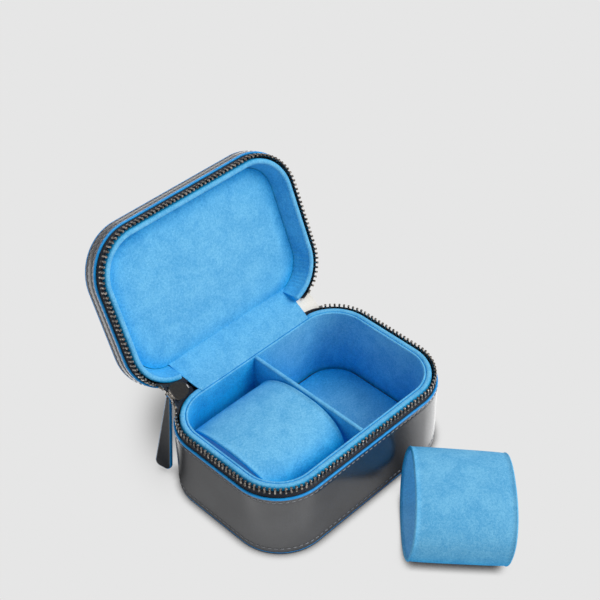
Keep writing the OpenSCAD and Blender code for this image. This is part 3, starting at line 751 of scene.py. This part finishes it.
# %% Lid lining with its pleats
t = np.linspace(0, 1, 16)
visible = np.stack([6.28 + 2.5 * t**1.4, 46.9 + 10.2 * t], -1)
behind = np.stack([np.full(4, 6.22), np.linspace(57.1, 46.9, 4)], -1)
lining = carried(np.concatenate([visible, behind]), lid_s)
cx, cy, a = walk(lid_s, CORNER)
corner_place = (lid_s - (SIDE_X + 30)) / 17
strength = np.exp(-corner_place**2)[:, None] * np.concatenate([t**0.8 * (1.15 - t), np.zeros(4)])
pleat = strength * (np.sin(lid_s * 2.1 + 1.2 * np.sin(lid_s * 0.55)) * 0.65)[:, None]
lining[..., 0] -= pleat * np.cos(a)[:, None]
lining[..., 1] -= pleat * np.sin(a)[:, None]
piece = skin("lid_lining", opened(lining), (False, True), 70)
dress(piece, lit_suede, "suede", "lid", "lid_wall_lining")

# %% [markdown]
# The lid's panel is a board under thin wadding and suede. It swells from a tight seam to a
# low crown, and the hand-laid suede leaves slow dips in it, here a sum of long sine waves.

# %% Padded lid panel
n_ring, n_walk = 46, 260
depth = np.linspace(0, 1, n_ring) ** 1.25
edge = carried(np.array([[8.95, 57.05]]), round_trip(n_walk))[:, 0]
flat = edge[None, :, :2] * (1 - 0.995 * depth)[:, None, None]
distance = np.linalg.norm(flat - edge[None, :, :2], axis=-1)
swell = 0.5 + 1.25 * np.sin(np.clip(distance / 9, 0, 1) * math.pi / 2)
x, y = flat[..., 0], flat[..., 1]
dips = np.sin(x / 7.3 + 1.1 * np.sin(y / 9.1)) * np.sin(y / 6.1 + 0.7)
dips += 0.6 * np.sin((x + 2 * y) / 5.2)
swell += 0.09 * dips * np.clip(distance / 8, 0, 1)
face = np.concatenate([flat, (57.05 - swell)[..., None]], -1)
back_face = np.concatenate([flat[::-1], np.full((n_ring, n_walk, 1), 57.08)], -1)[::6]
grid = np.concatenate([back_face, face])
piece = skin("lid_panel", opened(grid), (False, True), 70)
dress(piece, lit_suede, "suede", "lid", "lid_padded_panel")


# %% [markdown]
# A suede strip hides the hinge. It leaves the tray's back edge, passes over the lip and runs
# up to the panel's seam, sagging a little. It is built where it lies with the lid open.

# %% Sheets that cross the hinge
def thick(surface, t):
    """Both sides of a surface (n, m, 3), t mm apart, as one closed loop of columns."""
    a = np.gradient(surface, axis=0)
    b = np.gradient(surface, axis=1)
    normal = np.cross(a, b)
    normal /= np.linalg.norm(normal, axis=-1, keepdims=True)
    return np.concatenate([surface + normal * t / 2, (surface - normal * t / 2)[:, ::-1]], 1)


def swept(x, way):
    """A curve of (y, z) carried sideways to every x of a grid."""
    return np.stack([x, *(np.broadcast_to(way[:, k], x.shape) for k in (0, 1))], -1)


def bezier(points, n):
    """A smooth curve of n points held by four points."""
    t = np.linspace(0, 1, n)[:, None]
    p = np.asarray(points, float)
    w = [(1 - t) ** 3, 3 * t * (1 - t) ** 2, 3 * t * t * (1 - t), t**3]
    return sum(k * q for k, q in zip(w, p))


def bend_with_lid(piece):
    """Bakes the piece's place into its points."""
    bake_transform(piece)


start = np.array([38.6, 45.2])
stop = opened([[0, 35.7, 56.95]])[0, 1:]
way = bezier([start, start + [4.5, 0.75], stop - [6.5, 2.6], stop], 36)
share = np.linspace(0, 1, 36)[None, :]
left, right = -36.2 - 3.2 * share**0.8, 39.6 + 5 * share
x = left + (right - left) * np.linspace(0, 1, 40)[:, None]
surface = swept(x, way)
piece = skin("hinge_strip_suede", thick(surface, 0.7), (False, True))
dress(piece, lit_suede, "suede", None, "hinge_strip")
bend_with_lid(piece)

# %% Leather spine
p0, p1 = np.array([44.35, 40.1]), opened([[0, 44.35, 51.1]])[0, 1:]
pull = opened([[0, 44.35, 47.6]])[0, 1:] - p1
way = bezier([p0, p0 + [0, 3.4], p1 + pull, p1], 24)
x = np.linspace(-40.5, 40.5, 50)[:, None] + np.zeros(24)
surface = swept(x, way)
piece = skin("spine", thick(surface, 1.1), (False, True))
dress(piece, leather, "leather", None, "hinge_spine")
bend_with_lid(piece)


# %% [markdown]
# At the right back corner a cream tab closes the zip's end. It is a small flap of coated
# tape between the two tapes, with a rounded outer side. At the left back corner the tapes
# leave their stiff rows and come together in the slider, which hangs at half the lid's angle.

# %% Cream tab
def zip_point(s, height, degrees):
    """Point on the zip line at a height above the table with the lid shut, then turned."""
    return turned(zip_stations(s, ZIP_INSET, height)[0], degrees)


TAB_LOW, TAB_OUT, TAB_ROUND = 41.3, 13.4, 2.4
columns = []
for k in np.linspace(0, 1, 22):
    reach_out = TAB_OUT - TAB_ROUND * abs(2 * k - 1) ** 4
    s = SIDE_X + 1 + reach_out * np.linspace(0, 1, 26)
    low, high = zip_point(s, TAB_LOW, 0), zip_point(s, 2 * HINGE_Z - TAB_LOW, -OPEN)
    columns.append(low + (high - low) * k)
piece = skin("end_tab", thick(np.stack(columns, 1), 0.7), (False, True))
dress(piece, cream, "cream_tab", None, "zip_end_tab")
bend_with_lid(piece)

# %% Tapes that climb into the slider
PATH_END = SIDE_X + ZIP_LAP - 2 * SIDE_X
SLIDER_S = PATH_END - 22 / 90 * math.pi / 2 * (CORNER - ZIP_INSET)
MOUTH = SLIDER_S - 6.3


def climb(s, side):
    """From the stiff tape to the slider: the edge turns from its own tape's plane to halfway."""
    part = np.clip((s - TAPE_RUN[1]) / (MOUTH - TAPE_RUN[1]), 0, 1)
    part = eased(part)
    rows = []
    for k in np.linspace(0, 1, 7):
        drop_start, drop_end = 9 - 7.9 * k, 8.2 - 6.7 * k
        drop = drop_start + (drop_end - drop_start) * part
        degrees = -OPEN / 2 * part * k**1.3
        points = [zip_point(np.array([q]), HINGE_Z - d, g)[0] for q, d, g in zip(s, drop, degrees)]
        rows.append(points)
    surface = np.moveaxis(np.array(rows), 0, 1)
    return surface if side < 0 else mirrored(surface)


def mirrored(points):
    """The same place on the lid's side: reflected in the plane that halves the opening."""
    p = turned(points, OPEN / 2)
    p[..., 2] = 2 * HINGE_Z - p[..., 2]
    return turned(p, -OPEN / 2)


run = np.linspace(TAPE_RUN[1] - 1, PATH_END - 0.8, 40)
for side, label in ((-1, "lower"), (1, "upper")):
    surface = climb(run, side)
    piece = skin(f"climbing_tape_{label}", thick(surface, 0.55), (False, True))
    dress(piece, tape, "zip_tape", None)
    if side < 0:
        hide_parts("zip_bend_tape")
    bend_with_lid(piece)

# %% Teeth that climb into the slider
climb_s = np.arange(base_s[-1] + PITCH, MOUTH + 1.5, PITCH * 0.95)
part = np.clip((climb_s - TAPE_RUN[1]) / (MOUTH - TAPE_RUN[1]), 0.1, 1)
origins, frames = zip_stations(climb_s, ZIP_INSET, TOOTH_TOP - 0.6)
degrees = -OPEN / 2 * part
origins = np.array([turned(o, g) for o, g in zip(origins, degrees)])
frames = np.array([turned(f + hinge, g) - hinge for f, g in zip(frames, degrees)])
frames = np.concatenate([frames, mirrored(frames + hinge) - hinge])
origins = np.concatenate([origins, mirrored(origins)])
row = copies("climbing_teeth", TOOTH, origins, frames, 35)
dress(row, teeth_metal, "zip_metal", None, "zip_bend_teeth")
bend_with_lid(row)


# %% [markdown]
# The slider has two plates with turned rails, joined by a wedge at its mouth, and a bridge on
# its outer plate. The pull is a metal link through the bridge, and a leather tab hangs from
# it. Every one is a bevelled outline: rings that step in from the middle of its thickness.

# %% Bevelled plates
def outward_of(outline):
    """Unit directions square to a closed outline: its tangent turned a quarter."""
    tangent = np.roll(outline, -1, 0) - np.roll(outline, 1, 0)
    normal = np.stack([tangent[:, 1], -tangent[:, 0]], -1)
    return normal / np.linalg.norm(normal, axis=1, keepdims=True)


def plate(outline, low, high, soft, steps=4):
    """An outline (m, 2) given thickness from low to high, with edges rounded by soft."""
    normal = outward_of(outline)
    a = np.linspace(0, math.pi / 2, steps)
    inset = soft * (1 - np.cos(a))
    lift = soft * np.sin(a)
    insets = np.concatenate([inset[::-1], inset])
    heights = np.concatenate([low + soft - lift[::-1], high - soft + lift])
    return raised(outline[None] - normal[None] * insets[:, None, None], heights[:, None])


def relaxed(outline, times):
    """Rounds an outline's corners by averaging neighbours."""
    for _ in range(times):
        outline = (np.roll(outline, 1, 0) + 2 * outline + np.roll(outline, -1, 0)) / 4
    return outline


def at_slider(points):
    """x along the zip, y outward, z across the two tapes, to the parked slider."""
    origins, frames = zip_stations(np.array([SLIDER_S]), ZIP_INSET, HINGE_Z)
    return turned(points @ frames[0] + origins[0], -OPEN / 2)


# %% Slider
side = np.array([[-6.3, -2.9], [-4.8, -4.8], [0, -4.8], [4.9, -3.456], [6.3, -1.9]])
outline = relaxed(dense(np.concatenate([side, side[::-1] * [1, -1]]), 96), 6)
CHANNEL, PLATE = 0.85, 0.75


def flat_at_slider(grid):
    """A plate drawn as (x, across, height) laid with its height outward."""
    return at_slider(grid[..., [0, 2, 1]])


def slider_part(name, outline, low, high, soft, metal, sharp=50, steps=4):
    grid = flat_at_slider(plate(outline, low, high, soft, steps))
    return dress(skin(f"slider_{name}", grid, (False, True), sharp), metal, "zip_metal", "slider")


inner = slider_part("inner_plate", outline, -CHANNEL - PLATE, -CHANNEL, 0.3, slider_metal, 35)
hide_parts("slider_body")
slider_part("outer_plate", outline, CHANNEL, CHANNEL + PLATE, 0.3, bright_metal, 35)
edge = np.array([[-4.6, 4.0], [-4.6, 4.75], [0, 4.75], [5, 3.4], [5, 2.7], [0, 4.0]])
for sign, label in ((-1, "low"), (1, "high")):
    rail = relaxed(dense(edge * [1, sign], 40), 2)
    slider_part(f"rail_in_{label}", rail, -CHANNEL, -0.5, 0.05, bright_metal, steps=2)
    slider_part(f"rail_out_{label}", rail, 0.5, CHANNEL, 0.05, bright_metal, steps=2)
corners = np.array([[-6.2, -2.4], [-4.3, -2.4], [-1.3, 0], [-4.3, 2.4], [-6.2, 2.4]])
wedge = relaxed(dense(corners, 40), 2)
slider_part("wedge", wedge, -CHANNEL, CHANNEL, 0.05, bright_metal, steps=2)


# %% Bridge and link
def tube_along(path, half, sides=12):
    """A round section of half sizes (in plane, across) along an open path in a plane."""
    tangent = np.gradient(path, axis=0)
    tangent /= np.linalg.norm(tangent, axis=1, keepdims=True)
    normal = np.stack([-tangent[:, 1], tangent[:, 0]], -1)
    a = np.linspace(0, 2 * math.pi, sides, endpoint=False)
    x, across = (fuller(a, 0.7) * half).T
    flat = path[:, None] + normal[:, None] * x[None, :, None]
    return raised(flat, across)


arch = np.array([[-3.1, -0.2], [-3.3, 3.4], [3.3, 3.4], [3.1, -0.2]]) + [0, CHANNEL + PLATE]
arch = bezier(arch, 30)
grid = at_slider(tube_along(arch, (0.42, 1)))
dress(skin("bridge", grid, (False, True)), bright_metal, "zip_metal", "slider", "slider_bridge")

PIVOT = np.array([-48.8204, 45.0482, 47.477])
LEAN, TURN = math.radians(17), math.radians(-36)
REACH, LINK_R = 5.95, 0.55


def at_link(points):
    """x through the link, y across it, z up along it, to where it hangs from the bridge."""
    c, s = math.cos(LEAN), math.sin(LEAN)
    x, y, z = points[..., 0], points[..., 1], points[..., 2]
    x, z = x * c + z * s, z * c - x * s
    a = math.radians(90 - OPEN / 2)
    y, z = y * math.cos(a) - z * math.sin(a), y * math.sin(a) + z * math.cos(a)
    return PIVOT + np.stack([x, y, z], -1)


loop = relaxed(dense(np.array([[-3.25, 0], [-3.25, -REACH], [3.25, -REACH], [3.25, 0]]), 90), 14)
a = np.linspace(0, 2 * math.pi, 12, endpoint=False)
flat = loop[:, None] + outward_of(loop)[:, None] * (LINK_R * np.cos(a))[None, :, None]
grid = raised(flat, LINK_R * np.sin(a))[..., [2, 0, 1]]
dress(skin("link", at_link(grid)), bright_metal, "zip_metal", "link", "pull_link")


# %% Leather tab
def tab_outline(inset, n=16):
    """Down one side, round the two end corners and up again; y across, z up from the bar."""
    r, half_end, length, top_half, top = 3, 5, 41.5, 1.4, 1.8
    end = arc((half_end - r, r - length), r - inset, 0, -90, n)
    side = line((top_half - inset, top - 0.5), (half_end - inset, r - length), 24)[:-1]
    cap = arc((0, top - inset - 0.5), top_half - inset, 90, 8, 6)
    half = np.concatenate([cap, side, end, [[0, inset - length]]])
    return np.concatenate([half, half[::-1] * [-1, 1]])


def at_tab(grid):
    """Plate (y, z, thickness) turned about its own face, then hung at the link's lower bar."""
    y, z = grid[..., 0], grid[..., 1]
    c, s = math.cos(TURN), math.sin(TURN)
    return at_link(np.stack([grid[..., 2], y * c - z * s, y * s + z * c - REACH], -1))


def tab_grid(rings):
    """Rings of (inset, thickness) joined."""
    rings = np.array(rings)
    return raised(np.stack([tab_outline(inset) for inset in rings[:, 0]]), rings[:, 1:])


faces = [(0.9, -1.2), (0.45, -1.14), (0.35, -1), (0.35, 1), (0.45, 1.14), (0.9, 1.2)]
grid = tab_grid(faces)
dress(skin("tab_leather", at_tab(grid), (False, True)), leather, "leather", "tab", "pull_tab")
a = np.linspace(0, 2 * math.pi, 12, endpoint=False)
grid = tab_grid([(0.33 - 0.36 * math.cos(k), 1.08 * math.sin(k)) for k in a])
dress(skin("tab_edge", at_tab(grid)), blue_edge, "edge_paint", "tab", "pull_tab_edge_paint")


# %% [markdown]
# A cuff is a stiff oval sleeve in suede that keeps a strap's shape. One loop runs along the
# outside, round the soft end and back along the inside, and is carried round the oval, which
# is an ellipse made fuller. Its middle is a little prouder than its ends. The ends of the one
# in the well are rounded in plan, as the well's corners are. The loose one has straight ends
# that lean, and it narrows a little from one end to the other.

# %% Cuffs
CUFF_W, CUFF_H, HALF_L, FULL, BOW = 63.6, 38, 26.5, 2.3, 3.2
LEAN_LENGTH = 0.905
WELL_GAP, PAD_TOP = 0.4, 6.45
LOOSE_TURN, LOOSE_X, LOOSE_GAP, FRONT = -46, 14.5, 3.4, 45


def oval(n, inset):
    """A fuller ellipse: cosine and sine raised to less than one."""
    a = np.linspace(0, 2 * math.pi, n, endpoint=False)
    ring = fuller(a, 2 / FULL) * [CUFF_W / 2, CUFF_H / 2]
    for _ in range(4):
        ring = dense(ring, n)
    return ring[:, None] - outward_of(ring)[:, None] * inset[None, :, None]


def sleeve(loop, slant):
    """A loop of (along, inset) carried round the oval.

    Without a slant its ends draw in at the two sides. With one they are straight and lean by
    slant mm, and it narrows and moves sideways along its length.
    """
    across, height = np.moveaxis(oval(180, loop[:, 1]), -1, 0)
    if not slant:
        draw = 1 - BOW / HALF_L * (abs(across) / (CUFF_W / 2)) ** 4
        return np.stack([loop[:, 0] * draw, across, height], -1)
    x = loop[:, 0] * LEAN_LENGTH + slant * height / (CUFF_H / 2)
    along = x / HALF_L
    y = across * (1 - slant * 0.006 * (1 + along)) - slant * (0.6 + 0.7 * along)
    return np.stack([x, y, height], -1)


x = line(HALF_L - 1.2, 1.2 - HALF_L, 22)
outside = np.stack([x, 0.35 * (x / HALF_L) ** 4], -1)
left_end = [0, 2.2] + arc((1.1 - HALF_L, 1.15), 1.1, 100, 265, 9) * [1, -1]
inside = line((2.4 - HALF_L, 2), (HALF_L - 2.4, 2), 6)
COVER = np.concatenate([outside, left_end, inside, left_end[::-1] * [-1, 1]])
lining_end = np.array([[HALF_L - 2.2, 2.35], [HALF_L - 1.5, 2.1], [HALF_L - 1.7, 1.9]])
LINING = np.concatenate([lining_end[::-1] * [-1, 1], [[0, 2.4]], lining_end, [[0, 1.85]]])


def in_well(p):
    """Set down on the left pad, beside the divider."""
    return p + np.array([-HALF_BOARD - WELL_GAP - HALF_L, 0, PAD_TOP + CUFF_H / 2])


def on_table(p):
    """Turned and set down in front of the case."""
    a = math.radians(LOOSE_TURN)
    reach = (HALF_L - BOW) * abs(math.sin(a)) + CUFF_W / 2 * math.cos(a)
    x, y, z = p[..., 0], p[..., 1], p[..., 2]
    x, y = x * math.cos(a) - y * math.sin(a), x * math.sin(a) + y * math.cos(a)
    return np.stack([x + LOOSE_X, y - FRONT - LOOSE_GAP - reach, z + CUFF_H / 2], -1)


for body, place, slant in (("well_cuff", in_well, 0), ("loose_cuff", on_table, 2.9)):
    piece = skin(f"{body}_sleeve", place(sleeve(COVER, slant)), sharp=80)
    dress(piece, cuff_suede, "suede", body, f"{body}_cover", f"{body}_core")
    piece = skin(f"{body}_inside", place(sleeve(LINING, slant)), sharp=80)
    dress(piece, glowing_inner_suede, "cuff_lining", body, f"{body}_lining")

# %% [markdown]
# The hidden boards and the zip's end stops keep their engineering shapes. They only need a
# material of their own.

# %% Nodes that stay
for name, finish in (
    ("base_stiffener", board), ("lid_stiffener", board), ("tray_floor", board),
    ("base_zip_stop", teeth_metal), ("lid_zip_stop", teeth_metal),
):
    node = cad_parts[name]
    node.data.materials.clear()
    node.data.materials.append(finish)

# %% [markdown]
# The floor is a pale sheet whose grey is the same all over, except for painted shade where less
# of the room's light gets in. Close to the pieces, ambient occlusion measures how much of the sky
# is covered within 7 mm, and a painted dark line follows each edge that stands on the table.
# Behind the left corner a wide soft painted shadow is added, as far as a second measure within
# 160 mm finds the open lid overhead, so it fades when the lid shuts. Only the camera and
# reflections see this sheet. Reflections see it darker in front of the case and bright on the
# right, a painted reflection of lamps there. To all other light it is plain pale cloth.

# %% Floor
FAR, SHADE_X, SHADE_Y = 4000, -32, 73
square = FAR * np.array([[-1, -1, 0], [1, -1, 0], [1, 1, 0], [-1, 1, 0]])
floor = mesh_of("floor", square, np.array([[0, 1, 2, 3]]))
ground = Finish("floor_pale")
seen = ground.node("ShaderNodeLightPath", out="Is Camera Ray")
mirrored_floor = ground.node("ShaderNodeLightPath", out="Is Glossy Ray")
east, north = (ground.node("ShaderNodeSeparateXYZ", None, ground.place(), out=k) for k in (0, 1))


def sky_within(reach, samples):
    """How much of the sky is open within reach mm: 1 is all of it."""
    kind = "ShaderNodeAmbientOcclusion"
    return ground.node(kind, {"samples": samples}, out="AO", Distance=reach * MM)


# A painted shadow of the open lid behind the left corner, shaped as a soft oval.
over = (east - north - (SHADE_X - SHADE_Y) * MM) / (20.5 * MM)
along = (east + north - (SHADE_X + SHADE_Y) * MM) / (45 * MM)
squared = over * over + along * along
bell = squared.maths("POWER", math.e, squared * -1)
wide = bell * (1 - sky_within(160, 16).smooth(0.6, 0.95))
painted_lid_shadow = ground.blend(wide * 0.7, tint(230, 230, 230), (0, 0, 0, 1))
# A painted dark contact shadow wherever a piece stands within 7 mm of the floor.
floor_with_painted_shadows = ground.blend(sky_within(7, 12).smooth(0.3, 0.88), tint(38, 38, 40), painted_lid_shadow)
# Painted reflection light: reflections see the floor darker in front of the case and brighter on
# the right, as if lamps stood there.
beside = east + north + 86 * MM
left_side = 1.12 - beside.smooth(-30 * MM, 8 * MM) * 0.55
right_side = beside.smooth(62 * MM, 96 * MM) * 1.95
painted_lamp_reflection = left_side - beside.smooth(36 * MM, 66 * MM) * 0.5 + right_side
even = ground.node("ShaderNodeEmission", None, floor_with_painted_shadows, seen + mirrored_floor * painted_lamp_reflection)
cloth = ground.node("ShaderNodeBsdfDiffuse", None, (0.8, 0.8, 0.8, 1))
mixed = ground.node("ShaderNodeMixShader", None, seen + mirrored_floor, cloth, even)
ground.tree.links.new(mixed.socket, ground.tree.nodes["Material Output"].inputs["Surface"])
floor.data.materials.append(ground.material)

# %% [markdown]
# The light is a studio tent: bright and even from all sides, and a little more from the
# front. A sun with a very wide angle is the same all over the floor, and its shadows are soft.

# %% Lights
world = bpy.data.worlds.new("room")
world.use_nodes = True
room = world.node_tree.nodes["Background"]
room.inputs["Color"].default_value = tint(252, 252, 253)
room.inputs["Strength"].default_value = 0.55
bpy.context.scene.world = world
lamp = bpy.data.lights.new("key", "SUN")
lamp.energy, lamp.angle = 1.9, math.radians(40)
key = bpy.data.objects.new("key", lamp)
toward = np.array([0.5, -0.62, 0.8])
toward /= np.linalg.norm(toward)
flat = np.cross([0, 0, 1], toward)
flat /= np.linalg.norm(flat)
stand_at(key, (flat, np.cross(toward, flat), toward), [0, 0, 0])
bpy.context.scene.view_settings.view_transform = "Standard"
